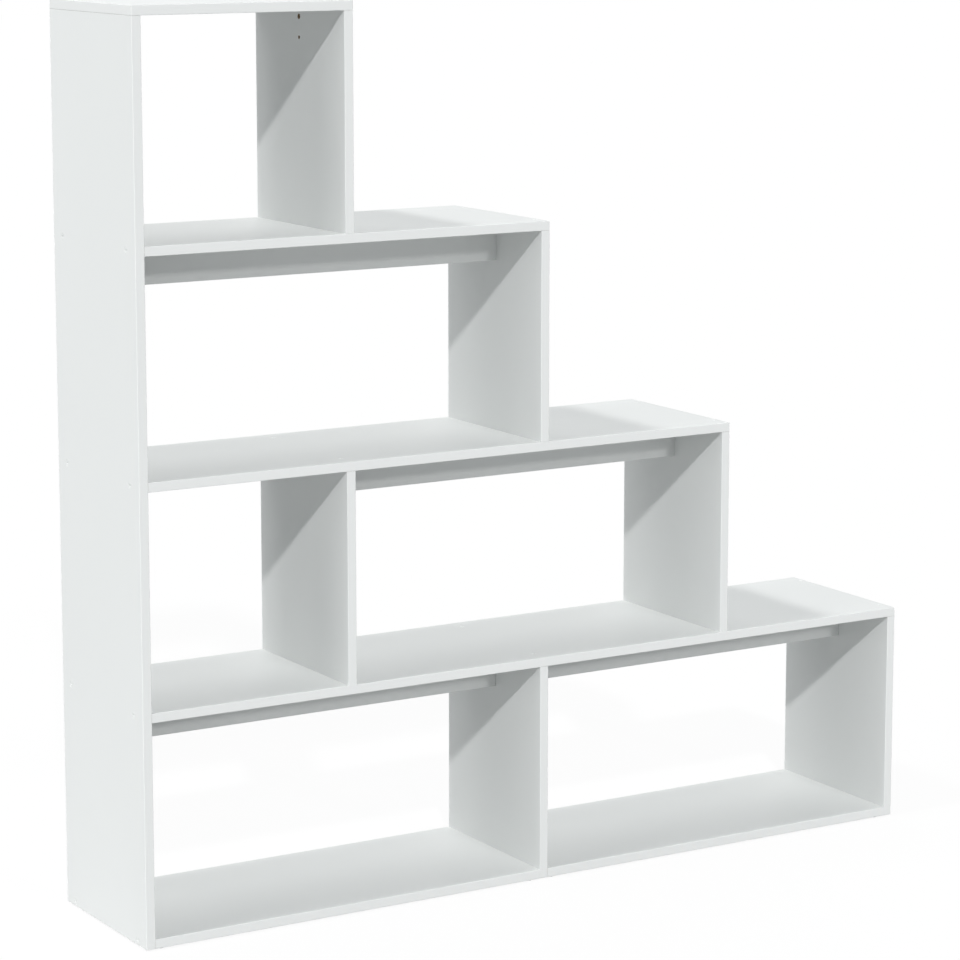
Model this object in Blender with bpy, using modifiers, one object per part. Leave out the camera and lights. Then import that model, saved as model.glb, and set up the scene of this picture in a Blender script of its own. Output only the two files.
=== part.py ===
"""A stair-shaped room divider bookcase: white boards on a square grid, four tiers high.

Each tier is one compartment narrower than the tier below it. The tall side is at -X, the front
at -Y, and the origin lies on the floor under the middle of the bookcase. Lengths are in metres.
"""
import math

import bmesh
import bpy
from mathutils import Vector

# The boards and the grid that they stand on
BOARD = 0.015              # thickness of every board and rail
CELL = 0.338               # clear width and height of one square compartment
DEPTH = 0.290              # front to back
EDGE_BEVEL = 0.0008        # softened edge of the edge-banded boards
RAIL_HEIGHT = 0.060        # stiffening rail under each wide shelf
TIERS = 4                  # tiers, and compartments across the bottom tier

# Screws through a board into the next board's end, with sunk white heads
SCREW_INSET = 0.032        # from the front and back edges to the screws
SCREW_LENGTH = 0.050       # from the board's face to the point
SCREW_POINT = 0.003        # tapered end
THREAD_RADIUS = 0.0025
COLLAR_RADIUS = 0.0035     # plain part in the outer board
HEAD_RADIUS = 0.005
HEAD_DEPTH = 0.0032        # from the board's face to the bottom of the countersink
HEAD_SINK = 0.0003         # the head lies this far below the board's face
SOCKET_RADIUS = 0.002      # key socket in the head
SOCKET_DEPTH = 0.0022

# A dowel and a peg glued into each end of a rail, which drop into holes in the uprights
RAIL_DOWEL_RADIUS = 0.004
RAIL_PEG_RADIUS = 0.0025
RAIL_PIN_REACH = 0.007     # how far they stand out of the rail
RAIL_PIN_ROOT = 0.015      # how far they reach into the rail
DOWEL_DROP = 0.014         # from the shelf down to the dowel
HOLE_PITCH = 0.032         # from the dowel down to the peg
BLIND_DEPTH = 0.0085       # depth of the holes in the uprights

# Loose dowels between the two base boards, through the bottom divider
BASE_DOWEL_RADIUS = 0.004
BASE_DOWEL_GRIP = 0.018    # length in each base board

# Glides under the ends of the base boards
GLIDE_HEIGHT = 0.003       # from the floor to the boards
GLIDE_RADIUS = 0.0075
GLIDE_BEVEL = 0.0006
GLIDE_INSET = 0.0145       # from the front and back edges
GLIDE_SETBACK = 0.013      # from the ends of a base board
STEM_RADIUS = 0.0025
STEM_LENGTH = 0.010

# Making the solids
GAP = 0.0003               # clearance between touching pieces
OVERRUN = 0.004            # cutters reach this far past a face
MERGE = 0.00001            # welding distance of turned shapes
SIDES = 10                 # sides of the screws and dowels
GLIDE_SIDES = 16
SMOOTH_ANGLE = math.radians(40)

PITCH = CELL + BOARD
HALF_WIDTH = (TIERS * PITCH + BOARD) / 2
HALF_DEPTH = DEPTH / 2
HALF_BOARD = BOARD / 2
SCREW_Y = HALF_DEPTH - SCREW_INSET

WHITE = (0.80, 0.81, 0.80)
HEAD_WHITE = (0.76, 0.77, 0.76)
BEECH = (0.62, 0.44, 0.27)
GREY_PLASTIC = (0.16, 0.16, 0.17)


def column_x(column):
    """Middle of the upright that stands on one grid line, counted from the tall side."""
    return -HALF_WIDTH + HALF_BOARD + column * PITCH


def level_z(level):
    """Middle of the horizontal board on one grid line, counted from the base."""
    return GLIDE_HEIGHT + HALF_BOARD + level * PITCH


# Collections and materials

def clear_scene():
    for thing in list(bpy.data.objects):
        bpy.data.objects.remove(thing, do_unlink=True)


def new_collection(name):
    collection = bpy.data.collections.new(name)
    bpy.context.scene.collection.children.link(collection)
    return collection


def new_material(name, colour, roughness, metallic):
    material = bpy.data.materials.new(name)
    material.use_nodes = True
    shader = material.node_tree.nodes["Principled BSDF"]
    shader.inputs["Base Color"].default_value = (*colour, 1.0)
    shader.inputs["Roughness"].default_value = roughness
    shader.inputs["Metallic"].default_value = metallic
    return material


clear_scene()
PARTS = new_collection("stair_bookcase")
CUTTERS = new_collection("cutters")
FOIL = new_material("white_foil_board", WHITE, 0.45, 0.0)
SCREW_LACQUER = new_material("white_screw", HEAD_WHITE, 0.35, 0.0)
DOWEL_WOOD = new_material("beech_dowel", BEECH, 0.7, 0.0)
GLIDE_PLASTIC = new_material("grey_glide", GREY_PLASTIC, 0.5, 0.0)


# Boards

def board(name, low, high):
    """A board between two opposite corners, with softened edges."""
    low = Vector(low)
    high = Vector(high)
    bpy.ops.mesh.primitive_cube_add(size=1.0, location=(low + high) / 2)
    piece = bpy.context.object
    piece.name = name
    piece.data.name = name
    piece.scale = high - low
    bpy.ops.object.transform_apply(location=False, rotation=False, scale=True)
    bevel = piece.modifiers.new("Soft edges", "BEVEL")
    bevel.width = EDGE_BEVEL
    bevel.segments = 1
    for collection in piece.users_collection:
        collection.objects.unlink(piece)
    PARTS.objects.link(piece)
    piece.data.materials.append(FOIL)
    return piece


def horizontal(name, level, left, right):
    """A shelf on one grid line, between two x values."""
    z = level_z(level)
    return board(name, (left, -HALF_DEPTH, z - HALF_BOARD), (right, HALF_DEPTH, z + HALF_BOARD))


def upright(name, column, low, high):
    """An upright on one grid line, between two z values."""
    x = column_x(column)
    return board(name, (x - HALF_BOARD, -HALF_DEPTH, low), (x + HALF_BOARD, HALF_DEPTH, high))


def right_of(column):
    """Where a board starts that butts against the right of an upright."""
    return column_x(column) + HALF_BOARD + GAP


def left_of(column):
    """Where a board ends that butts against the left of an upright."""
    return column_x(column) - HALF_BOARD - GAP


def above(level):
    """Where an upright starts that stands on a shelf."""
    return level_z(level) + HALF_BOARD + GAP


def below(level):
    """Where an upright ends that carries a shelf."""
    return level_z(level) - HALF_BOARD - GAP


MIDDLE = TIERS // 2        # the bottom tier's divider

left_side = upright("left_side", 0, GLIDE_HEIGHT, below(TIERS))
base_left = horizontal("base_left", 0, right_of(0), left_of(MIDDLE))
base_right = horizontal("base_right", 0, right_of(MIDDLE), left_of(TIERS))
tier1_divider = upright("tier1_divider", MIDDLE, GLIDE_HEIGHT, below(1))
tier1_right_side = upright("tier1_right_side", TIERS, GLIDE_HEIGHT, below(1))
shelf_1 = horizontal("shelf_1", 1, right_of(0), column_x(TIERS) + HALF_BOARD)
tier2_divider = upright("tier2_divider", 1, above(1), below(2))
tier2_right_side = upright("tier2_right_side", TIERS - 1, above(1), below(2))
shelf_2 = horizontal("shelf_2", 2, right_of(0), column_x(TIERS - 1) + HALF_BOARD)
tier3_right_side = upright("tier3_right_side", TIERS - 2, above(2), below(3))
shelf_3 = horizontal("shelf_3", 3, right_of(0), column_x(TIERS - 2) + HALF_BOARD)
tier4_right_side = upright("tier4_right_side", TIERS - 3, above(3), below(TIERS))
top_panel = horizontal("top_panel", TIERS, -HALF_WIDTH, column_x(TIERS - 3) + HALF_BOARD)


# Stiffening rails, on edge in the middle of the depth, under each shelf that spans two cells

def rail(name, level, left_column, right_column):
    top = below(level)
    return board(
        name,
        (right_of(left_column), -HALF_BOARD, top - RAIL_HEIGHT),
        (left_of(right_column), HALF_BOARD, top),
    )


rail_tier1_left = rail("rail_tier1_left", 1, 0, MIDDLE)
rail_tier1_right = rail("rail_tier1_right", 1, MIDDLE, TIERS)
rail_tier2 = rail("rail_tier2", 2, 1, TIERS - 1)
rail_tier3 = rail("rail_tier3", 3, 0, TIERS - 2)


# Turned shapes, where they go, and the holes for them

def turned(name, outline, sides):
    """Mesh of a turned shape. Its outline runs down the outer side as (radius, height) points."""
    profile = bpy.data.meshes.new(name + "_profile")
    points = [(radius, 0.0, height) for radius, height in outline]
    edges = [(index, index + 1) for index in range(len(points) - 1)]
    profile.from_pydata(points, edges, [])
    holder = bpy.data.objects.new(name + "_profile", profile)
    CUTTERS.objects.link(holder)
    turn = holder.modifiers.new("Turn", "SCREW")
    turn.steps = sides
    turn.render_steps = sides
    turn.use_merge_vertices = True
    turn.merge_threshold = MERGE
    bpy.context.view_layer.update()
    finished = holder.evaluated_get(bpy.context.evaluated_depsgraph_get())
    mesh = bpy.data.meshes.new_from_object(finished)
    bpy.data.objects.remove(holder)
    weld = bmesh.new()
    weld.from_mesh(mesh)
    bmesh.ops.remove_doubles(weld, verts=weld.verts, dist=MERGE)
    weld.to_mesh(mesh)
    weld.free()
    mesh.name = name
    mesh.shade_smooth()
    mesh.set_sharp_from_angle(angle=SMOOTH_ANGLE)
    return mesh


def rod(name, top, bottom, radius):
    """Mesh of a plain rod along Z."""
    return turned(name, [(0.0, top), (radius, top), (radius, bottom), (0.0, bottom)], SIDES)


def place(piece, point, direction):
    """Puts a piece's origin at a point, and its -Z along a direction."""
    turn = Vector((0.0, 0.0, -1.0)).rotation_difference(Vector(direction))
    piece.location = point
    piece.rotation_euler = turn.to_euler()


def fitting(name, shape, point, direction):
    """A fitting of its own. It may share its shape with others."""
    piece = bpy.data.objects.new(name, shape)
    PARTS.objects.link(piece)
    place(piece, point, direction)
    return piece


def hidden_tool(name, shape, point, direction):
    """A shape that cuts or joins boards, and isn't itself a part."""
    tool = bpy.data.objects.new(name, shape)
    CUTTERS.objects.link(tool)
    tool.hide_render = True
    tool.display_type = "WIRE"
    place(tool, point, direction)
    return tool


def combine(piece, tool, operation):
    change = piece.modifiers.new(tool.name, "BOOLEAN")
    change.operation = operation
    change.object = tool


def bore(name, shape, point, direction, boards):
    """The hole for a fitting, in each board that it passes into."""
    cutter = hidden_tool(name + "_bore", shape, point, direction)
    for piece in boards:
        combine(piece, cutter, "DIFFERENCE")


TO_RIGHT = (1.0, 0.0, 0.0)
TO_LEFT = (-1.0, 0.0, 0.0)
UP = (0.0, 0.0, 1.0)
DOWN = (0.0, 0.0, -1.0)


# Screws. A screw's origin is on the outer board's face, over its sunk head, and it points along
# -Z. Its collar fills the outer board, and its thread bites in the end of the other.

COLLAR_LENGTH = BOARD
screw_shape = turned(
    "screw",
    [
        (0.0, -HEAD_SINK - SOCKET_DEPTH),
        (SOCKET_RADIUS, -HEAD_SINK - SOCKET_DEPTH),
        (SOCKET_RADIUS, -HEAD_SINK),
        (HEAD_RADIUS, -HEAD_SINK),
        (COLLAR_RADIUS, -HEAD_DEPTH),
        (COLLAR_RADIUS, -COLLAR_LENGTH),
        (THREAD_RADIUS, -COLLAR_LENGTH),
        (THREAD_RADIUS, SCREW_POINT - SCREW_LENGTH),
        (0.0, -SCREW_LENGTH),
    ],
    SIDES,
)
screw_shape.materials.append(SCREW_LACQUER)
screw_bore = turned(
    "screw_bore",
    [
        (0.0, OVERRUN),
        (HEAD_RADIUS + GAP, OVERRUN),
        (HEAD_RADIUS + GAP, -HEAD_SINK),
        (COLLAR_RADIUS + GAP, -HEAD_DEPTH),
        (COLLAR_RADIUS + GAP, -COLLAR_LENGTH - GAP),
        (THREAD_RADIUS + GAP, -COLLAR_LENGTH - GAP),
        (THREAD_RADIUS + GAP, -SCREW_LENGTH - GAP),
        (0.0, -SCREW_LENGTH - GAP),
    ],
    SIDES,
)


def screw_joint(name, x, z, direction, outer, inner):
    """A screw near the front and one near the back, through one board into another's end."""
    for end, y in (("front", -SCREW_Y), ("back", SCREW_Y)):
        label = "screw_" + name + "_" + end
        fitting(label, screw_shape, (x, y, z), direction)
        bore(label, screw_bore, (x, y, z), direction, [outer, inner])


def screws_over(name, level, column, shelf, carried_by):
    """Screws down through a shelf into the upright that carries it."""
    screw_joint(name, column_x(column), level_z(level) + HALF_BOARD, DOWN, shelf, carried_by)


def screws_under(name, level, column, shelf, standing):
    """Screws up through a shelf into the upright that stands on it."""
    screw_joint(name, column_x(column), level_z(level) - HALF_BOARD, UP, shelf, standing)


for level, held in enumerate([base_left, shelf_1, shelf_2, shelf_3]):
    screw_joint("side_to_" + held.name, -HALF_WIDTH, level_z(level), TO_RIGHT, left_side, held)
screw_joint("side_to_base_right", HALF_WIDTH, level_z(0), TO_LEFT, tier1_right_side, base_right)

screws_over("top_to_left_side", TIERS, 0, top_panel, left_side)
screws_over("top_to_tier4_right", TIERS, TIERS - 3, top_panel, tier4_right_side)
screws_over("shelf3_to_tier3_right", 3, TIERS - 2, shelf_3, tier3_right_side)
screws_over("shelf2_to_tier2_divider", 2, 1, shelf_2, tier2_divider)
screws_over("shelf2_to_tier2_right", 2, TIERS - 1, shelf_2, tier2_right_side)
screws_over("shelf1_to_tier1_divider", 1, MIDDLE, shelf_1, tier1_divider)
screws_over("shelf1_to_tier1_right", 1, TIERS, shelf_1, tier1_right_side)

screws_under("shelf3_to_tier4_right", 3, TIERS - 3, shelf_3, tier4_right_side)
screws_under("shelf2_to_tier3_right", 2, TIERS - 2, shelf_2, tier3_right_side)
screws_under("shelf1_to_tier2_divider", 1, 1, shelf_1, tier2_divider)
screws_under("shelf1_to_tier2_right", 1, TIERS - 1, shelf_1, tier2_right_side)


# The rails' pins. A pin's origin is on the rail's end, it is glued into the rail, and it stands
# out along -Z into a hole in the upright. The bottom divider's holes go right through, because
# the two rails there share them.

dowel_pin = rod("rail_dowel", RAIL_PIN_ROOT, GAP - RAIL_PIN_REACH, RAIL_DOWEL_RADIUS)
peg_pin = rod("rail_peg", RAIL_PIN_ROOT, GAP - RAIL_PIN_REACH, RAIL_PEG_RADIUS)
dowel_hole = rod("dowel_hole", OVERRUN, -BLIND_DEPTH, RAIL_DOWEL_RADIUS + GAP)
peg_hole = rod("peg_hole", OVERRUN, -BLIND_DEPTH, RAIL_PEG_RADIUS + GAP)
dowel_through_hole = rod("dowel_through_hole", OVERRUN, -BOARD - OVERRUN, RAIL_DOWEL_RADIUS + GAP)
peg_through_hole = rod("peg_through_hole", OVERRUN, -BOARD - OVERRUN, RAIL_PEG_RADIUS + GAP)


def dowel_z(level):
    """Height of the rail dowels under a shelf."""
    return level_z(level) - HALF_BOARD - DOWEL_DROP


def peg_z(level):
    return dowel_z(level) - HOLE_PITCH


def pins_on(beam, x, level, direction):
    """Glues a dowel and a peg into one end of a rail."""
    for label, shape, z in (("_dowel", dowel_pin, dowel_z(level)), ("_peg", peg_pin, peg_z(level))):
        end = "_right" if direction == TO_RIGHT else "_left"
        pin = hidden_tool(beam.name + label + end, shape, (x, 0.0, z), direction)
        combine(beam, pin, "UNION")


def pin_holes(column, level, direction, piece):
    """Blind holes in an upright for a rail that comes along a direction."""
    x = column_x(column) - math.copysign(HALF_BOARD, direction[0])
    bore(piece.name + "_dowel_" + str(level), dowel_hole, (x, 0.0, dowel_z(level)), direction, [piece])
    bore(piece.name + "_peg_" + str(level), peg_hole, (x, 0.0, peg_z(level)), direction, [piece])


def pins_at_both_ends(beam, left_column, right_column, level):
    pins_on(beam, right_of(left_column), level, TO_LEFT)
    pins_on(beam, left_of(right_column), level, TO_RIGHT)


pins_at_both_ends(rail_tier1_left, 0, MIDDLE, 1)
pins_at_both_ends(rail_tier1_right, MIDDLE, TIERS, 1)
pins_at_both_ends(rail_tier2, 1, TIERS - 1, 2)
pins_at_both_ends(rail_tier3, 0, TIERS - 2, 3)

pin_holes(0, 1, TO_LEFT, left_side)
pin_holes(0, 3, TO_LEFT, left_side)
pin_holes(1, 2, TO_LEFT, tier2_divider)
pin_holes(TIERS, 1, TO_RIGHT, tier1_right_side)
pin_holes(TIERS - 1, 2, TO_RIGHT, tier2_right_side)
pin_holes(TIERS - 2, 3, TO_RIGHT, tier3_right_side)
# The top tier has no rail, but its right side is the same board as the two below it
pin_holes(TIERS - 3, TIERS, TO_RIGHT, tier4_right_side)

divider_face = column_x(MIDDLE) - HALF_BOARD
bore("divider_dowel", dowel_through_hole, (divider_face, 0.0, dowel_z(1)), TO_RIGHT, [tier1_divider])
bore("divider_peg", peg_through_hole, (divider_face, 0.0, peg_z(1)), TO_RIGHT, [tier1_divider])


# Base dowels. A dowel's origin is its middle, inside the divider.

BASE_DOWEL_HALF = HALF_BOARD + BASE_DOWEL_GRIP
base_dowel = rod("base_dowel", BASE_DOWEL_HALF, -BASE_DOWEL_HALF, BASE_DOWEL_RADIUS)
base_dowel.materials.append(DOWEL_WOOD)
base_dowel_bore = rod(
    "base_dowel_bore", BASE_DOWEL_HALF + GAP, -BASE_DOWEL_HALF - GAP, BASE_DOWEL_RADIUS + GAP
)
for end, y in (("front", -SCREW_Y), ("back", SCREW_Y)):
    centre = (column_x(MIDDLE), y, level_z(0))
    fitting("base_dowel_" + end, base_dowel, centre, TO_RIGHT)
    bore("base_dowel_" + end, base_dowel_bore, centre, TO_RIGHT,
         [base_left, tier1_divider, base_right])


# Glides. A glide's origin is on the floor, and its stem points up into the base board.

GLIDE_TOP = GLIDE_HEIGHT - GAP
STEM_TOP = GLIDE_TOP + STEM_LENGTH
glide_shape = turned(
    "glide",
    [
        (0.0, STEM_TOP),
        (STEM_RADIUS, STEM_TOP),
        (STEM_RADIUS, GLIDE_TOP),
        (GLIDE_RADIUS, GLIDE_TOP),
        (GLIDE_RADIUS, GLIDE_BEVEL),
        (GLIDE_RADIUS - GLIDE_BEVEL, 0.0),
        (0.0, 0.0),
    ],
    GLIDE_SIDES,
)
glide_shape.materials.append(GLIDE_PLASTIC)
glide_bore = turned(
    "glide_bore",
    [
        (0.0, STEM_TOP + GAP),
        (STEM_RADIUS + GAP, STEM_TOP + GAP),
        (STEM_RADIUS + GAP, GLIDE_HEIGHT - OVERRUN),
        (0.0, GLIDE_HEIGHT - OVERRUN),
    ],
    GLIDE_SIDES,
)


def glides_under(base, left_column, right_column):
    """A glide near each corner of a base board."""
    left = right_of(left_column) + GLIDE_SETBACK
    right = left_of(right_column) - GLIDE_SETBACK
    reach = HALF_DEPTH - GLIDE_INSET
    corners = {
        "_front_left": (left, -reach),
        "_front_right": (right, -reach),
        "_back_left": (left, reach),
        "_back_right": (right, reach),
    }
    for corner, (x, y) in corners.items():
        name = "glide_" + base.name + corner
        fitting(name, glide_shape, (x, y, 0.0), DOWN)
        bore(name, glide_bore, (x, y, 0.0), DOWN, [base])


glides_under(base_left, 0, MIDDLE)
glides_under(base_right, MIDDLE, TIERS)
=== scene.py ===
"""Looks of a stair-shaped room divider bookcase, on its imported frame.

White boards stand on a square grid, four tiers high, and each tier is one compartment narrower
than the tier below it. Lengths are in metres, the tall side is at -X and the front at -Y.
"""

import math

import bmesh
import bpy
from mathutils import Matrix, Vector


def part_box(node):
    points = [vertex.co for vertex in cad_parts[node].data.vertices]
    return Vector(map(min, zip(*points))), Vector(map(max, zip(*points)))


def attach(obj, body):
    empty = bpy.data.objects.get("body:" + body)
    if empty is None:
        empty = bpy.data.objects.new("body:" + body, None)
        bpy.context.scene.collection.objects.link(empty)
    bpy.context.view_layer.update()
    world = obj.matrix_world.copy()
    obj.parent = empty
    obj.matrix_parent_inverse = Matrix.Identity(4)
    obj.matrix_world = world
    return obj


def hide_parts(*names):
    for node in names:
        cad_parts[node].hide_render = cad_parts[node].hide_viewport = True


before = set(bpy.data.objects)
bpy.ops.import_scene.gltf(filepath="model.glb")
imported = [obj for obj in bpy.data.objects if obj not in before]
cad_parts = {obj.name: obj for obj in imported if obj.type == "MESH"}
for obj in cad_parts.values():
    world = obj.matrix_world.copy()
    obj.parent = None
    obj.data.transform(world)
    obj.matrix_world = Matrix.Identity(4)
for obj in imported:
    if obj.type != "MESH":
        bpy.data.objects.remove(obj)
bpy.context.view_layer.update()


# Boards
# Thirteen pieces of 15 mm chipboard faced with white melamine foil. The edges that show carry a
# thin plastic band with rounded corners, and the ends that butt against another board are bare.

EDGE_ROUND = 0.0008        # radius of the banded edges
ROUND_STEPS = 4
SMOOTH_ANGLE = math.radians(35)
NEAR = 0.00005             # two places closer than this are the same
SQUARE_ON = 0.999          # a face is square to an axis from this cosine on
BUTT_CLOSE = 0.00027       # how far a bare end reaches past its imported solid
PAST_END = 0.002           # how far past a board's end its neighbour is looked for
SKIN = 0.0005              # white rim round a bare end, narrower than the rounding beside it

# The order of the finishes on a board or a rail
FOILED = 0
BANDED = 1
BARE = 2

BOARDS = [
    "left_side",
    "base_left",
    "base_right",
    "tier1_divider",
    "tier1_right_side",
    "shelf_1",
    "tier2_divider",
    "tier2_right_side",
    "shelf_2",
    "tier3_right_side",
    "shelf_3",
    "tier4_right_side",
    "top_panel",
]


class Value:
    """A number from a node's socket. Sums with it add Math nodes."""

    def __init__(self, nodes, socket):
        self.nodes = nodes
        self.socket = socket

    def combine(self, operation, first, second):
        made = self.nodes.node("ShaderNodeMath", {"operation": operation}, {0: first, 1: second})
        return Value(self.nodes, made.outputs[0])

    def __add__(self, other):
        return self.combine("ADD", self, other)

    def __radd__(self, other):
        return self.combine("ADD", other, self)

    def __sub__(self, other):
        return self.combine("SUBTRACT", self, other)

    def __rsub__(self, other):
        return self.combine("SUBTRACT", other, self)

    def __mul__(self, other):
        return self.combine("MULTIPLY", self, other)

    def __rmul__(self, other):
        return self.combine("MULTIPLY", other, self)


class Nodes:
    """The nodes of a material, or of the white surround."""

    def __init__(self, owner):
        owner.use_nodes = True
        self.tree = owner.node_tree

    def feed(self, socket, value):
        """Links or sets one socket."""
        if isinstance(value, Value):
            value = value.socket
        if isinstance(value, bpy.types.NodeSocket):
            self.tree.links.new(value, socket)
        else:
            socket.default_value = value

    def node(self, kind, settings, sockets):
        """Adds a node: its settings come first, then its sockets."""
        made = self.tree.nodes.new(kind)
        for name, value in settings.items():
            setattr(made, name, value)
        for name, value in sockets.items():
            self.feed(made.inputs[name], value)
        return made

    def number(self, kind, output):
        """The number that a node with no settings gives."""
        return Value(self, self.node(kind, {}, {}).outputs[output])


class Finish(Nodes):
    """The finish of one kind of surface."""

    def __init__(self, name):
        self.material = bpy.data.materials.new(name)
        super().__init__(self.material)
        self.shader = self.tree.nodes["Principled BSDF"]

    def surface(self, **sockets):
        """Sets the shader's sockets, by their names with underscores for spaces."""
        for name, value in sockets.items():
            self.feed(self.shader.inputs[name.replace("_", " ")], value)

    def place(self, stretch=(1.0, 1.0, 1.0)):
        """Where a point lies on the bookcase, stretched for a pattern that runs one way."""
        point = self.node("ShaderNodeTexCoord", {}, {}).outputs["Object"]
        return self.node("ShaderNodeMapping", {}, {"Vector": point, "Scale": stretch}).outputs[0]

    def noise(self, place, size, detail=2.0):
        """Soft noise from 0 to 1 whose spots are about one size across."""
        sockets = {"Vector": place, "Scale": 1.0 / size, "Detail": detail, "Roughness": 0.55}
        made = self.node("ShaderNodeTexNoise", {}, sockets)
        return Value(self, made.outputs["Fac"])

    def mixed(self, amount, first, second):
        """A colour between two colours."""
        settings = {"data_type": "RGBA"}
        made = self.node("ShaderNodeMix", settings, {0: amount, 6: (*first, 1.0), 7: (*second, 1.0)})
        return made.outputs[2]

    def bumped(self, height, depth, strength=1.0):
        """A surface raised by a height from 0 to 1, times a depth."""
        sockets = {"Height": height, "Distance": depth, "Strength": strength}
        return self.node("ShaderNodeBump", {}, sockets).outputs[0]


FOIL_WHITE = (0.762, 0.775, 0.766)
FOIL_SHADE = (0.731, 0.744, 0.736)
BAND_WHITE = (0.762, 0.772, 0.764)
BAND_SHADE = (0.727, 0.738, 0.731)
MATT = 0.3                 # the foil and the band reflect less than polished plastic does
CHIP_PALE = (0.62, 0.47, 0.29)
CHIP_DARK = (0.27, 0.17, 0.09)


def foil_finish():
    """Melamine foil: printed white paper under resin, pressed with a fine pearl grain."""
    finish = Finish("white_melamine_foil")
    place = finish.place()
    cloud = finish.noise(place, 0.25, 1.0)
    fibre = finish.noise(place, 0.0022, 3.0)
    pearl = finish.noise(place, 0.0009, 2.0)
    sheen = finish.noise(place, 0.035, 3.0)
    finish.surface(
        Base_Color=finish.mixed(cloud * 0.55 + fibre * 0.45, FOIL_SHADE, FOIL_WHITE),
        Roughness=0.40 + sheen * 0.10 + pearl * 0.06,
        Specular_IOR_Level=MATT,
        Normal=finish.bumped(pearl + fibre * 0.4, 0.00005, 0.55),
    )
    return finish.material


def band_finish(name, stretch):
    """Extruded plastic edge band: a little glossier, with faint lines along its length."""
    finish = Finish(name)
    lines = finish.noise(finish.place(stretch), 0.0007, 2.0)
    grain = finish.noise(finish.place(), 0.0011, 2.0)
    finish.surface(
        Base_Color=finish.mixed(lines * 0.6 + grain * 0.4, BAND_SHADE, BAND_WHITE),
        Roughness=0.34 + lines * 0.08 + grain * 0.06,
        Specular_IOR_Level=MATT,
        Normal=finish.bumped(lines + grain * 0.5, 0.00003, 0.45),
    )
    return finish.material


def chipboard_finish():
    """Bare chipboard, in the drilled holes and on the ends that don't show."""
    finish = Finish("bare_chipboard")
    place = finish.place((1.0, 1.0, 2.6))
    chips = finish.node("ShaderNodeTexVoronoi", {}, {"Vector": place, "Scale": 420.0})
    shade = Value(finish, chips.outputs["Distance"])
    dust = finish.noise(place, 0.0006, 3.0)
    finish.surface(
        Base_Color=finish.mixed(shade * 0.7 + dust * 0.4, CHIP_PALE, CHIP_DARK),
        Roughness=0.82 + dust * 0.12,
        Normal=finish.bumped(shade + dust, 0.00025, 0.7),
    )
    return finish.material


foil = foil_finish()
band_along_x = band_finish("white_band_along_x", (0.02, 1.0, 1.0))
band_along_z = band_finish("white_band_along_z", (1.0, 1.0, 0.02))
chipboard = chipboard_finish()


def clear_selection():
    bpy.ops.object.select_all(action="DESELECT")


def pick(thing):
    """Makes one object the only one selected, and the active one."""
    clear_selection()
    thing.select_set(True)
    bpy.context.view_layer.objects.active = thing


def block(name, low, high, band):
    """A square block between two corners, with its place in its mesh and a board's finishes."""
    clear_selection()
    bpy.ops.mesh.primitive_cube_add(size=1.0, location=(low + high) / 2)
    piece = bpy.context.object
    piece.name = name
    piece.data.name = name
    piece.scale = high - low
    bpy.ops.object.transform_apply(location=True, rotation=False, scale=True)
    piece.data.materials.append(foil)
    piece.data.materials.append(band)
    piece.data.materials.append(chipboard)
    return piece


def butts(node, point):
    """Whether a point just past a board's end lies inside another board."""
    for other in BOARDS:
        low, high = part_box(other)
        inside = all(low[axis] < point[axis] < high[axis] for axis in range(3))
        if other != node and inside:
            return True
    return False


def long_axis(node):
    """Z for an upright and X for a shelf, as 2 or 0."""
    low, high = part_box(node)
    return 2 if high.z - low.z > high.x - low.x else 0


def is_bare(node, end, step):
    """Whether a board's end butts against another board, so that it has no band."""
    low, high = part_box(node)
    axis = long_axis(node)
    point = (low + high) / 2
    point[axis] = end[axis] + step
    return butts(node, point)


def round_edges(piece, axis, bare):
    """Rounds the banded edges of a block, and gives each face its finish."""
    pick(piece)
    bpy.ops.object.mode_set(mode="EDIT")
    bpy.ops.mesh.select_mode(type="EDGE")
    bpy.ops.mesh.select_all(action="DESELECT")
    mesh = bmesh.from_edit_mesh(piece.data)
    for edge in mesh.edges:
        start, end = [corner.co[axis] for corner in edge.verts]
        across = abs(start - end) < NEAR
        edge.select = not (across and any(abs(start - place) < NEAR for place in bare))
    bmesh.update_edit_mesh(piece.data)
    bpy.ops.mesh.bevel(offset=EDGE_ROUND, segments=ROUND_STEPS, material=BANDED)
    bpy.ops.mesh.select_mode(type="FACE")
    mesh = bmesh.from_edit_mesh(piece.data)
    for face in mesh.faces:
        middle = face.calc_center_median()
        face.select = any(abs(middle[axis] - place) < NEAR for place in bare)
        if abs(face.normal.y) > SQUARE_ON or abs(face.normal[axis]) > SQUARE_ON:
            face.material_index = BANDED
    bmesh.update_edit_mesh(piece.data)
    if bare:
        bpy.ops.mesh.inset(thickness=SKIN, use_individual=True)
        mesh = bmesh.from_edit_mesh(piece.data)
        for face in mesh.faces:
            if face.select:
                face.material_index = BARE
        bmesh.update_edit_mesh(piece.data)
    bpy.ops.object.mode_set(mode="OBJECT")


boards = {}
for node in BOARDS:
    low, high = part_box(node)
    axis = long_axis(node)
    bare = []
    # A bare end closes up to its neighbour, but for a hairline
    if is_bare(node, low, -PAST_END):
        low[axis] -= BUTT_CLOSE
        bare.append(low[axis])
    if is_bare(node, high, PAST_END):
        high[axis] += BUTT_CLOSE
        bare.append(high[axis])
    piece = block(node + "_board", low, high, band_along_z if axis == 2 else band_along_x)
    round_edges(piece, axis, bare)
    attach(piece, "root")
    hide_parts(node)
    boards[node] = piece


# Screws
# Sixteen butt joints, each with a screw near the front and one near the back. The screws are
# steel with a sunk white head, and a coarse thread that cuts into the end of the second board.

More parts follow.
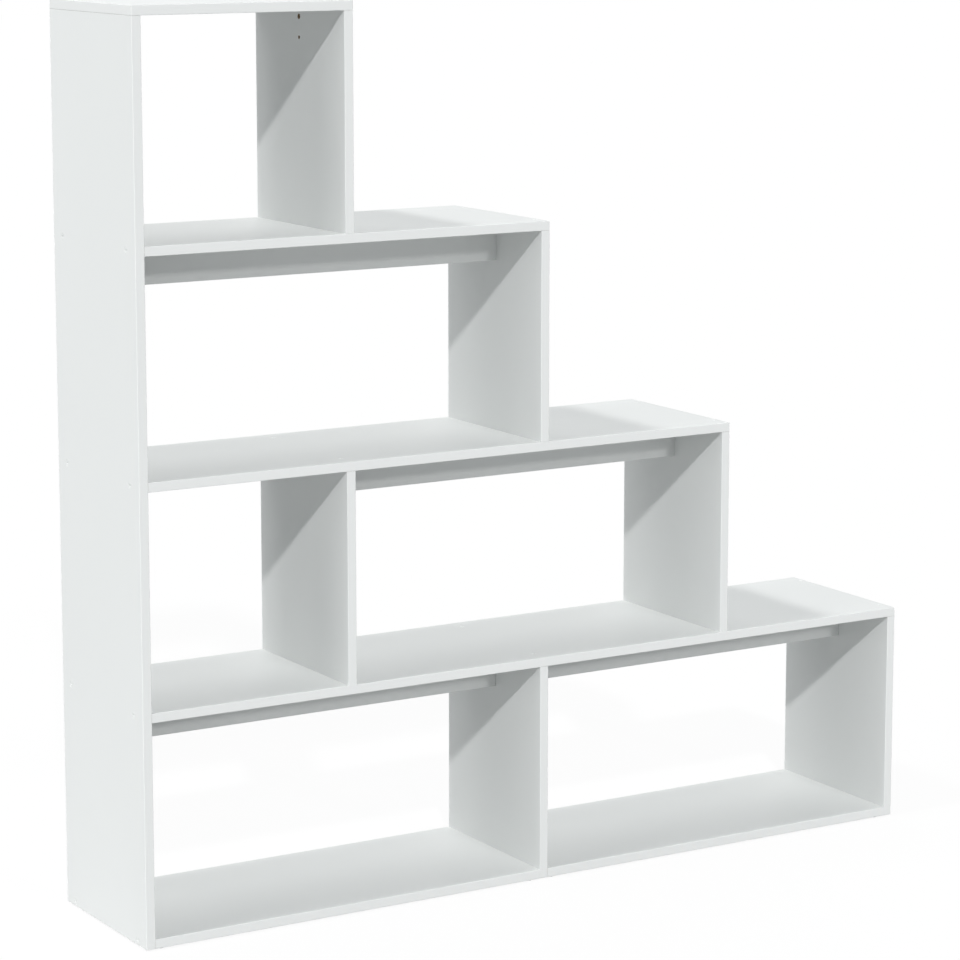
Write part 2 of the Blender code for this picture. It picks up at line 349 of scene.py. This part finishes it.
SCREW_LENGTH = 0.050
HEAD_RADIUS = 0.005
HEAD_SINK = 0.0003
HEAD_EASE = 0.0002
HEAD_RIM = 0.0005          # how far the head's straight rim goes down
HEAD_DEPTH = 0.0032
COLLAR_RADIUS = 0.0035
COLLAR_LENGTH = 0.015
THREAD_RADIUS = 0.00235
CORE_RADIUS = 0.0017
THREAD_PITCH = 0.0028
THREAD_TURNS = 10
THREAD_START = 0.0012      # from the collar's end to the first turn
RIDGE_HALF = 0.0007        # half the width of the thread's ridge at its root
RIDGE_ROOT = 0.0002        # how deep the ridge is set in the core
POINT_LENGTH = 0.004
TIP_LENGTH = 0.0015
POINT_RADIUS = 0.0002
SOCKET_RADIUS = 0.0020
SOCKET_DEPTH = 0.0022
DRILL_GAP = 0.0003         # how much wider a drilled hole is than its fitting
HEAD_FIT = 0.0001          # and a countersink than its head, which presses into the foil
DRILL_OVERRUN = 0.004
LEDGE = 0.00001            # rise of a flat ledge in a turned outline
FINE_SIDES = 28

RIGHT = (1.0, 0.0, 0.0)
LEFT = (-1.0, 0.0, 0.0)
UP = (0.0, 0.0, 1.0)
DOWN = (0.0, 0.0, -1.0)

SCREW_JOINTS = {
    "side_to_base_left": RIGHT,
    "side_to_shelf_1": RIGHT,
    "side_to_shelf_2": RIGHT,
    "side_to_shelf_3": RIGHT,
    "side_to_base_right": LEFT,
    "top_to_left_side": DOWN,
    "top_to_tier4_right": DOWN,
    "shelf3_to_tier3_right": DOWN,
    "shelf2_to_tier2_divider": DOWN,
    "shelf2_to_tier2_right": DOWN,
    "shelf1_to_tier1_divider": DOWN,
    "shelf1_to_tier1_right": DOWN,
    "shelf3_to_tier4_right": UP,
    "shelf2_to_tier3_right": UP,
    "shelf1_to_tier2_divider": UP,
    "shelf1_to_tier2_right": UP,
}

LACQUER_WHITE = (0.80, 0.815, 0.805)
LACQUER_SHADE = (0.74, 0.755, 0.745)
ZINC_PALE = (0.62, 0.62, 0.60)
ZINC_DARK = (0.45, 0.46, 0.47)


def lacquer_finish():
    """White stoving lacquer on the screws' heads and in their key sockets."""
    finish = Finish("white_head_lacquer")
    place = finish.place()
    orange_peel = finish.noise(place, 0.0006, 2.0)
    finish.surface(
        Base_Color=finish.mixed(orange_peel, LACQUER_SHADE, LACQUER_WHITE),
        Roughness=0.25 + orange_peel * 0.12,
        Normal=finish.bumped(orange_peel, 0.00003, 0.6),
    )
    return finish.material


def zinc_finish():
    """Bright zinc plating on the screws' shanks and threads, and on the rails' pegs."""
    finish = Finish("zinc_plated_steel")
    place = finish.place()
    crystals = finish.noise(place, 0.0010, 3.0)
    finish.surface(
        Base_Color=finish.mixed(crystals, ZINC_DARK, ZINC_PALE),
        Metallic=0.9,
        Roughness=0.30 + crystals * 0.2,
        Normal=finish.bumped(crystals, 0.00002, 0.5),
    )
    return finish.material


head_lacquer = lacquer_finish()
zinc_steel = zinc_finish()


def turned(name, outline, sides):
    """A turned solid along Z: a disc drawn out ring by ring to (radius, height) points."""
    clear_selection()
    radius, height = outline[0]
    bpy.ops.mesh.primitive_circle_add(
        vertices=sides, radius=radius, fill_type="NGON", location=(0.0, 0.0, height)
    )
    piece = bpy.context.object
    piece.name = name
    bpy.ops.object.transform_apply(location=True, rotation=False, scale=False)
    bpy.ops.object.mode_set(mode="EDIT")
    bpy.ops.mesh.select_all(action="SELECT")
    for next_radius, next_height in outline[1:]:
        rise = (0.0, 0.0, next_height - height)
        bpy.ops.mesh.extrude_region_move(TRANSFORM_OT_translate={"value": rise})
        ratio = next_radius / radius
        bpy.ops.transform.resize(value=(ratio, ratio, 1.0), center_override=(0.0, 0.0, next_height))
        radius, height = next_radius, next_height
    bpy.ops.mesh.select_all(action="SELECT")
    bpy.ops.mesh.normals_make_consistent(inside=False)
    bpy.ops.object.mode_set(mode="OBJECT")
    return piece


def cut_or_join(piece, tool, operation):
    """Cuts a tool out of a piece, or welds the two into one solid. The tool is used up."""
    change = piece.modifiers.new("shaping", "BOOLEAN")
    change.operation = operation
    change.solver = "EXACT"
    change.material_mode = "TRANSFER"
    change.object = tool
    pick(piece)
    bpy.ops.object.modifier_apply(modifier=change.name)
    bpy.data.objects.remove(tool)


def copy_of(template, name, point, direction):
    """A copy with a mesh of its own, its Z axis turned against a direction and moved to a point."""
    pick(template)
    bpy.ops.object.duplicate(linked=False)
    piece = bpy.context.object
    piece.name = name
    piece.data.name = name
    turn = Vector((0.0, 0.0, -1.0)).rotation_difference(Vector(direction))
    piece.location = point
    piece.rotation_euler = turn.to_euler()
    bpy.ops.object.transform_apply(location=True, rotation=True, scale=False)
    return piece


def smooth(piece):
    """Smooth shading on the round parts, with flat faces kept flat."""
    pick(piece)
    bpy.ops.object.shade_smooth_by_angle(angle=SMOOTH_ANGLE)
    weighted = piece.modifiers.new("flat faces stay flat", "WEIGHTED_NORMAL")
    weighted.keep_sharp = True
    bpy.ops.object.modifier_apply(modifier=weighted.name)


def helix_ridge():
    """The coarse thread: a sharp ridge wound round the screw's core."""
    clear_selection()
    start = COLLAR_LENGTH + THREAD_START
    bpy.ops.mesh.primitive_circle_add(
        vertices=3, radius=0.0005, fill_type="NOTHING", rotation=(math.radians(90), 0.0, 0.0)
    )
    ridge = bpy.context.object
    bpy.ops.object.transform_apply(location=False, rotation=True, scale=False)
    bpy.ops.object.mode_set(mode="EDIT")
    bpy.ops.mesh.select_all(action="SELECT")
    mesh = bmesh.from_edit_mesh(ridge.data)
    root = CORE_RADIUS - RIDGE_ROOT
    corners = [(root, RIDGE_HALF), (THREAD_RADIUS, 0.0), (root, -RIDGE_HALF)]
    for vertex, (radius, rise) in zip(mesh.verts, corners):
        vertex.co = (radius, 0.0, rise - start)
    bmesh.update_edit_mesh(ridge.data)
    bpy.ops.object.mode_set(mode="OBJECT")
    wind = ridge.modifiers.new("wind", "SCREW")
    wind.steps = 16
    wind.render_steps = 16
    wind.screw_offset = -THREAD_PITCH
    wind.iterations = THREAD_TURNS
    pick(ridge)
    bpy.ops.object.modifier_apply(modifier=wind.name)
    bpy.ops.object.mode_set(mode="EDIT")
    bpy.ops.mesh.select_mode(type="EDGE")
    bpy.ops.mesh.select_all(action="DESELECT")
    bpy.ops.mesh.select_non_manifold()
    bpy.ops.mesh.fill_holes(sides=3)
    bpy.ops.mesh.select_all(action="SELECT")
    bpy.ops.mesh.normals_make_consistent(inside=False)
    bpy.ops.object.mode_set(mode="OBJECT")
    ridge.data.materials.append(zinc_steel)
    return ridge


def screw_template():
    """One screw: its head at the origin, its point along -Z."""
    screw = turned(
        "screw_template",
        [
            (HEAD_RADIUS - HEAD_EASE, -HEAD_SINK),
            (HEAD_RADIUS, -HEAD_SINK - HEAD_EASE),
            (HEAD_RADIUS, -HEAD_SINK - HEAD_RIM),
            (COLLAR_RADIUS, -HEAD_DEPTH),
            (COLLAR_RADIUS, -COLLAR_LENGTH + 0.001),
            (CORE_RADIUS, -COLLAR_LENGTH - 0.0008),
            (CORE_RADIUS, POINT_LENGTH - SCREW_LENGTH),
            (CORE_RADIUS * 0.6, TIP_LENGTH - SCREW_LENGTH),
            (POINT_RADIUS, -SCREW_LENGTH),
        ],
        FINE_SIDES,
    )
    screw.data.materials.append(head_lacquer)
    screw.data.materials.append(zinc_steel)
    for face in screw.data.polygons:
        if face.center.z < -HEAD_DEPTH:
            face.material_index = 1
    cut_or_join(screw, helix_ridge(), "UNION")
    socket = turned(
        "key_socket",
        [
            (SOCKET_RADIUS, DRILL_OVERRUN),
            (SOCKET_RADIUS, -HEAD_SINK - SOCKET_DEPTH + 0.0007),
            (POINT_RADIUS, -HEAD_SINK - SOCKET_DEPTH),
        ],
        6,
    )
    # The lacquer runs into the socket
    socket.data.materials.append(head_lacquer)
    cut_or_join(screw, socket, "DIFFERENCE")
    smooth(screw)
    return screw


def screw_drill_template():
    """The stepped drill of a screw: countersink, clearance hole and pilot hole."""
    drill = turned(
        "screw_drill",
        [
            (HEAD_RADIUS + HEAD_FIT, DRILL_OVERRUN),
            (HEAD_RADIUS + HEAD_FIT, -HEAD_SINK - HEAD_RIM),
            (COLLAR_RADIUS + DRILL_GAP, -HEAD_DEPTH),
            (COLLAR_RADIUS + DRILL_GAP, -COLLAR_LENGTH - DRILL_GAP),
            (THREAD_RADIUS + DRILL_GAP, -COLLAR_LENGTH - DRILL_GAP - LEDGE),
            (THREAD_RADIUS + DRILL_GAP, -SCREW_LENGTH),
            (0.0005, -SCREW_LENGTH - 0.001),
        ],
        FINE_SIDES,
    )
    drill.data.materials.append(chipboard)
    drill.data.materials.append(foil)
    # The head presses the foil down into the countersink
    for face in drill.data.polygons:
        if face.center.z > -HEAD_DEPTH:
            face.material_index = 1
    return drill


def screw_face_point(node, direction):
    """Where a screw's axis meets the face that its head is sunk in."""
    low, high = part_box(node)
    point = (low + high) / 2
    for axis in range(3):
        if direction[axis] > 0:
            point[axis] = low[axis] - HEAD_SINK
        if direction[axis] < 0:
            point[axis] = high[axis] + HEAD_SINK
    return point


drills = []
screw_master = screw_template()
drill_master = screw_drill_template()
for joint, direction in SCREW_JOINTS.items():
    for end in ("front", "back"):
        node = "screw_" + joint + "_" + end
        point = screw_face_point(node, direction)
        piece = copy_of(screw_master, node + "_fine", point, direction)
        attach(piece, "root")
        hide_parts(node)
        drills.append(copy_of(drill_master, "drill_" + node, point, direction))
bpy.data.objects.remove(screw_master)
bpy.data.objects.remove(drill_master)


# Rails
# Four stiffening boards on edge, in the middle of the depth, under the shelves that span two
# compartments. A beech dowel and a steel peg, glued in each end, drop in holes in the uprights.

RAILS = ["rail_tier1_left", "rail_tier1_right", "rail_tier2", "rail_tier3"]
PIN_REACH = 0.007          # how far a pin stands out of its rail
PIN_ROOT = 0.015
DOWEL_DROP = 0.014         # from the rail's top edge to the dowel
HOLE_PITCH = 0.032         # from the dowel down to the peg
DOWEL_RADIUS = 0.004
DOWEL_EASE = 0.0008
PEG_RADIUS = 0.0025
PEG_EASE = 0.0006
HOLE_DEPTH = 0.0085
FLUTES = 10

BEECH_PALE = (0.66, 0.47, 0.30)
BEECH_DARK = (0.50, 0.32, 0.18)


def beech_finish():
    """Pressed beech dowel: short dark flecks along the grain."""
    finish = Finish("pressed_beech")
    along = finish.place((0.12, 1.0, 1.0))
    grain = finish.noise(along, 0.0007, 4.0)
    flecks = finish.noise(along, 0.0018, 2.0)
    finish.surface(
        Base_Color=finish.mixed(grain * 0.6 + flecks * 0.4, BEECH_DARK, BEECH_PALE),
        Roughness=0.62 + grain * 0.2,
        Normal=finish.bumped(grain, 0.0001, 0.5),
    )
    return finish.material


beech = beech_finish()


def dowel_template(name, length):
    """A fluted dowel along Z, its middle at the origin."""
    half = length / 2
    dowel = turned(
        name,
        [
            (DOWEL_RADIUS - DOWEL_EASE, half),
            (DOWEL_RADIUS, half - DOWEL_EASE),
            (DOWEL_RADIUS, DOWEL_EASE - half),
            (DOWEL_RADIUS - DOWEL_EASE, -half),
        ],
        FLUTES * 4,
    )
    bpy.ops.object.mode_set(mode="EDIT")
    bpy.ops.mesh.select_mode(type="VERT")
    bpy.ops.mesh.select_all(action="DESELECT")
    mesh = bmesh.from_edit_mesh(dowel.data)
    step = math.tau / FLUTES
    for vertex in mesh.verts:
        turn = math.atan2(vertex.co.y, vertex.co.x) % step
        vertex.select = min(turn, step - turn) < step / 16
    mesh.select_flush_mode()
    bmesh.update_edit_mesh(dowel.data)
    bpy.ops.transform.resize(value=(0.9, 0.9, 1.0), center_override=(0.0, 0.0, 0.0))
    bpy.ops.object.mode_set(mode="OBJECT")
    dowel.data.materials.append(beech)
    return dowel


def peg_template():
    """A plain steel peg along Z with eased ends, its middle at the origin."""
    half = (PIN_REACH + PIN_ROOT) / 2
    peg = turned(
        "peg_template",
        [
            (PEG_RADIUS - PEG_EASE, half),
            (PEG_RADIUS, half - PEG_EASE),
            (PEG_RADIUS, PEG_EASE - half),
            (PEG_RADIUS - PEG_EASE, -half),
        ],
        FINE_SIDES,
    )
    peg.data.materials.append(zinc_steel)
    return peg


def hole_drill(name, radius, depth):
    """A drill along -Z that starts a little over the origin and bores to a depth."""
    drill = turned(name, [(radius, DRILL_OVERRUN), (radius, -depth)], FINE_SIDES)
    drill.data.materials.append(chipboard)
    return drill


dowel_master = dowel_template("dowel_template", PIN_REACH + PIN_ROOT)
peg_master = peg_template()
dowel_drill = hole_drill("dowel_drill", DOWEL_RADIUS + DRILL_GAP, HOLE_DEPTH)
peg_drill = hole_drill("peg_drill", PEG_RADIUS + DRILL_GAP, HOLE_DEPTH)

for node in RAILS:
    low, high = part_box(node)
    reach = Vector((PIN_REACH - DRILL_GAP, 0.0, 0.0))
    rail_low = low + reach
    rail_high = high - reach
    rail = block(node + "_board", rail_low, rail_high, band_along_x)
    rail_ends = [rail_low.x, rail_high.x]
    round_edges(rail, 0, rail_ends)
    # A rail stands on edge, so its foil is on its front and back
    for face in rail.data.polygons:
        if face.material_index != BARE:
            face.material_index = FOILED if abs(face.normal.y) > SQUARE_ON else BANDED
    middle_y = (low.y + high.y) / 2
    for end_x, side, direction in ((rail_low.x, -1, LEFT), (rail_high.x, 1, RIGHT)):
        pin_x = end_x + side * (PIN_REACH - PIN_ROOT) / 2
        face_x = end_x + side * DRILL_GAP
        for pin, drill, drop in (
            (dowel_master, dowel_drill, DOWEL_DROP),
            (peg_master, peg_drill, DOWEL_DROP + HOLE_PITCH),
        ):
            z = high.z - drop
            glued = copy_of(pin, "pin", (pin_x, middle_y, z), direction)
            cut_or_join(rail, glued, "UNION")
            drills.append(copy_of(drill, "drill_" + node, (face_x, middle_y, z), direction))
    smooth(rail)
    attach(rail, "root")
    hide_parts(node)

# The top tier has no rail, but its right side is the same board as the two below it, with the
# same two holes
spare_low, spare_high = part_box("tier4_right_side")
for drill, drop in ((dowel_drill, DOWEL_DROP), (peg_drill, DOWEL_DROP + HOLE_PITCH)):
    point = (spare_low.x, 0.0, spare_high.z - drop)
    drills.append(copy_of(drill, "drill_spare", point, RIGHT))
for template in (dowel_master, peg_master, dowel_drill, peg_drill):
    bpy.data.objects.remove(template)


# Base dowels
# Two loose beech dowels that line the two base boards up with each other, through the bottom
# divider.

low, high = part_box("base_dowel_front")
dowel_master = dowel_template("dowel_template", high.x - low.x)
for end in ("front", "back"):
    node = "base_dowel_" + end
    low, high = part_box(node)
    middle = (low + high) / 2
    piece = copy_of(dowel_master, node + "_fine", middle, RIGHT)
    smooth(piece)
    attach(piece, "root")
    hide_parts(node)
    half = (high.x - low.x) / 2 + DRILL_GAP
    drill = turned(
        "drill_" + node,
        [(DOWEL_RADIUS + DRILL_GAP, half), (DOWEL_RADIUS + DRILL_GAP, -half)],
        FINE_SIDES,
    )
    drill.data.materials.append(chipboard)
    drills.append(copy_of(drill, "drill_" + node, middle, RIGHT))
    bpy.data.objects.remove(drill)
bpy.data.objects.remove(dowel_master)


# Glides
# Eight dark grey plastic glides under the base boards' corners, moulded in one piece with a
# barbed stem that is pressed into the board.

GLIDE_HEIGHT = 0.003
GLIDE_RADIUS = 0.0075
GLIDE_DISH = 0.0004        # how far the middle of the foot is hollowed
GLIDE_EASE = 0.0003
STEM_RADIUS = 0.0025
STEM_LENGTH = 0.010
GLIDE_TOP = GLIDE_HEIGHT - DRILL_GAP
BARBS = 4

PLASTIC_DARK = (0.035, 0.035, 0.038)
PLASTIC_PALE = (0.055, 0.055, 0.058)


def glide_finish():
    """Dark grey polyethylene, satin, with a faint moulded grain."""
    finish = Finish("grey_glide_plastic")
    grain = finish.noise(finish.place(), 0.0005, 2.0)
    scuff = finish.noise(finish.place(), 0.004, 3.0)
    finish.surface(
        Base_Color=finish.mixed(scuff, PLASTIC_DARK, PLASTIC_PALE),
        Roughness=0.42 + grain * 0.15,
        Normal=finish.bumped(grain, 0.00004, 0.6),
    )
    return finish.material


def glide_template():
    """One glide: its foot on the floor at the origin, its stem along +Z."""
    outline = [
        (0.0004, GLIDE_DISH),
        (GLIDE_RADIUS * 0.55, GLIDE_DISH),
        (GLIDE_RADIUS * 0.62, 0.0),
        (GLIDE_RADIUS - 0.0009, 0.0),
        (GLIDE_RADIUS - GLIDE_EASE, GLIDE_EASE),
        (GLIDE_RADIUS, 0.0009),
        (GLIDE_RADIUS, GLIDE_TOP - GLIDE_EASE),
        (GLIDE_RADIUS - GLIDE_EASE, GLIDE_TOP),
        (STEM_RADIUS * 0.8, GLIDE_TOP + LEDGE),
    ]
    pitch = STEM_LENGTH / (BARBS + 1)
    for barb in range(BARBS):
        root = GLIDE_TOP + (barb + 0.5) * pitch
        outline.append((STEM_RADIUS * 0.8, root))
        outline.append((STEM_RADIUS, root + 0.0001))
        outline.append((STEM_RADIUS * 0.8, root + pitch * 0.8))
    outline.append((STEM_RADIUS * 0.8, GLIDE_TOP + STEM_LENGTH - 0.0006))
    outline.append((STEM_RADIUS * 0.5, GLIDE_TOP + STEM_LENGTH))
    glide = turned("glide_template", outline, 32)
    glide.data.materials.append(glide_finish())
    smooth(glide)
    return glide


glide_master = glide_template()
stem_drill = turned(
    "stem_drill",
    [
        (STEM_RADIUS + DRILL_GAP, GLIDE_HEIGHT - DRILL_OVERRUN),
        (STEM_RADIUS + DRILL_GAP, GLIDE_TOP + STEM_LENGTH + DRILL_GAP),
    ],
    FINE_SIDES,
)
stem_drill.data.materials.append(chipboard)
for base in ("base_left", "base_right"):
    for corner in ("front_left", "front_right", "back_left", "back_right"):
        node = "glide_" + base + "_" + corner
        low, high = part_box(node)
        point = ((low.x + high.x) / 2, (low.y + high.y) / 2, low.z)
        piece = copy_of(glide_master, node + "_fine", point, DOWN)
        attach(piece, "root")
        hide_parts(node)
        drills.append(copy_of(stem_drill, "drill_" + node, point, DOWN))
bpy.data.objects.remove(glide_master)
bpy.data.objects.remove(stem_drill)


# Drilling
# The boards are drilled for every screw, pin, dowel and glide stem before they are put together,
# so each board gets the holes of all the drills that reach it.

def reach_of(thing):
    """Lowest and highest corner of a mesh."""
    places = [vertex.co for vertex in thing.data.vertices]
    low = Vector([min(place[axis] for place in places) for axis in range(3)])
    high = Vector([max(place[axis] for place in places) for axis in range(3)])
    return low, high


def meets(one, other):
    """Whether two pairs of corners overlap."""
    return all(
        one[0][axis] < other[1][axis] and other[0][axis] < one[1][axis] for axis in range(3)
    )


for node, piece in boards.items():
    for drill in drills:
        if meets(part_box(node), reach_of(drill)):
            pick(drill)
            bpy.ops.object.duplicate(linked=False)
            cut_or_join(piece, bpy.context.object, "DIFFERENCE")
    smooth(piece)
for drill in drills:
    bpy.data.objects.remove(drill)


# Studio
# A plain white studio: a pale floor that keeps a soft shadow, an even surround, and five lamps.
# The key light comes from the front left over the camera, and its shadow's edge crosses the
# uprights from the front corner down to the back.

SURROUND = 0.175           # how bright the white surround is as a light
SURROUND_TINT = (0.90, 1.00, 1.06)  # a little cool, which shows in the shade
FLOOR_SIZE = 60.0
FLOOR_GREY = 0.50          # what the floor throws back on the bookcase
FLOOR_WHITE = (0.90, 0.90, 0.90)
FLOOR_SHADE = (0.87, 0.87, 0.87)
FLOOR_SHOWN = 0.07         # how much of the white floor's own light and shade the camera sees

LAMP_DISTANCE = 3.0

# The way that each lamp's light travels, its strength, and how soft it is in degrees
LAMPS = {
    "key_lamp": ((0.45, 1.0, -0.78), 2.18, 2.5),
    "low_front_lamp": ((-0.12, 1.0, -0.34), 0.49, 4.0),
    "upper_left_lamp": ((0.62, 0.0, -1.0), 0.93, 6.0),
    "low_left_lamp": ((1.0, 0.0, -0.25), 1.05, 30.0),
    "upper_back_lamp": ((0.0, -0.60, -1.0), 0.60, 30.0),
}


def add_sun(name, way, strength, softness):
    """A lamp so far off that its light travels one way."""
    clear_selection()
    turn = Vector((0.0, 0.0, -1.0)).rotation_difference(Vector(way))
    place = -LAMP_DISTANCE * Vector(way)
    bpy.ops.object.light_add(type="SUN", location=place, rotation=turn.to_euler())
    sun = bpy.context.object
    sun.name = name
    sun.data.energy = strength
    sun.data.angle = math.radians(softness)


for name, (way, strength, softness) in LAMPS.items():
    add_sun(name, way, strength, softness)

world = bpy.data.worlds.new("white_surround")
bpy.context.scene.world = world
surround = Nodes(world)
surround_light = surround.tree.nodes["Background"]
surround_light.inputs["Color"].default_value = (*SURROUND_TINT, 1.0)
surround_light.inputs["Strength"].default_value = SURROUND
surround_seen = surround.node(
    "ShaderNodeBackground", {}, {"Color": (1.0, 1.0, 1.0, 1.0), "Strength": 1.0}
)
unseen = 1.0 - surround.number("ShaderNodeLightPath", "Is Camera Ray")
unseen = unseen * (1.0 - surround.number("ShaderNodeLightPath", "Is Glossy Ray"))
unseen = unseen * (1.0 - surround.number("ShaderNodeLightPath", "Is Transmission Ray"))
surround_mix = surround.node(
    "ShaderNodeMixShader",
    {},
    {0: unseen, 1: surround_seen.outputs[0], 2: surround_light.outputs[0]},
)
surround_output = surround.tree.nodes["World Output"]
surround.feed(surround_output.inputs["Surface"], surround_mix.outputs[0])

floor_finish = Finish("studio_floor")
floor_grain = floor_finish.noise(floor_finish.place(), 0.05, 3.0)
floor_finish.surface(
    Base_Color=floor_finish.mixed(floor_grain, FLOOR_SHADE, FLOOR_WHITE),
    Roughness=0.75 + floor_grain * 0.1,
)
floor_glow = floor_finish.node("ShaderNodeEmission", {}, {"Strength": 1.0})
floor_seen = floor_finish.node(
    "ShaderNodeMixShader",
    {},
    {0: FLOOR_SHOWN, 1: floor_glow.outputs[0], 2: floor_finish.shader.outputs[0]},
)
floor_bounce = floor_finish.node(
    "ShaderNodeBsdfDiffuse", {}, {"Color": (FLOOR_GREY, FLOOR_GREY, FLOOR_GREY, 1.0)}
)
floor_mix = floor_finish.node(
    "ShaderNodeMixShader",
    {},
    {
        0: floor_finish.number("ShaderNodeLightPath", "Is Camera Ray"),
        1: floor_bounce.outputs[0],
        2: floor_seen.outputs[0],
    },
)
floor_output = floor_finish.tree.nodes["Material Output"]
floor_finish.feed(floor_output.inputs["Surface"], floor_mix.outputs[0])

clear_selection()
bpy.ops.mesh.primitive_plane_add(size=FLOOR_SIZE, location=(0.0, 0.0, 0.0))
floor = bpy.context.object
floor.name = "studio_floor"
floor.data.materials.append(floor_finish.material)


# Camera
# It looks from the front left, a little over the top panel, through a long lens.

CAMERA_PLACE = (-2.797, -4.556, 1.623)
CAMERA_TILT = math.radians(90.0 - 9.188)
CAMERA_TURN = math.radians(-31.239)

clear_selection()
bpy.ops.object.camera_add(location=CAMERA_PLACE, rotation=(CAMERA_TILT, 0.0, CAMERA_TURN))
camera = bpy.context.object
camera.name = "camera"
camera.data.sensor_width = 36.0
camera.data.lens = 124.62
camera.data.shift_y = -0.075
bpy.context.scene.camera = camera
bpy.context.scene.view_settings.view_transform = "Standard"
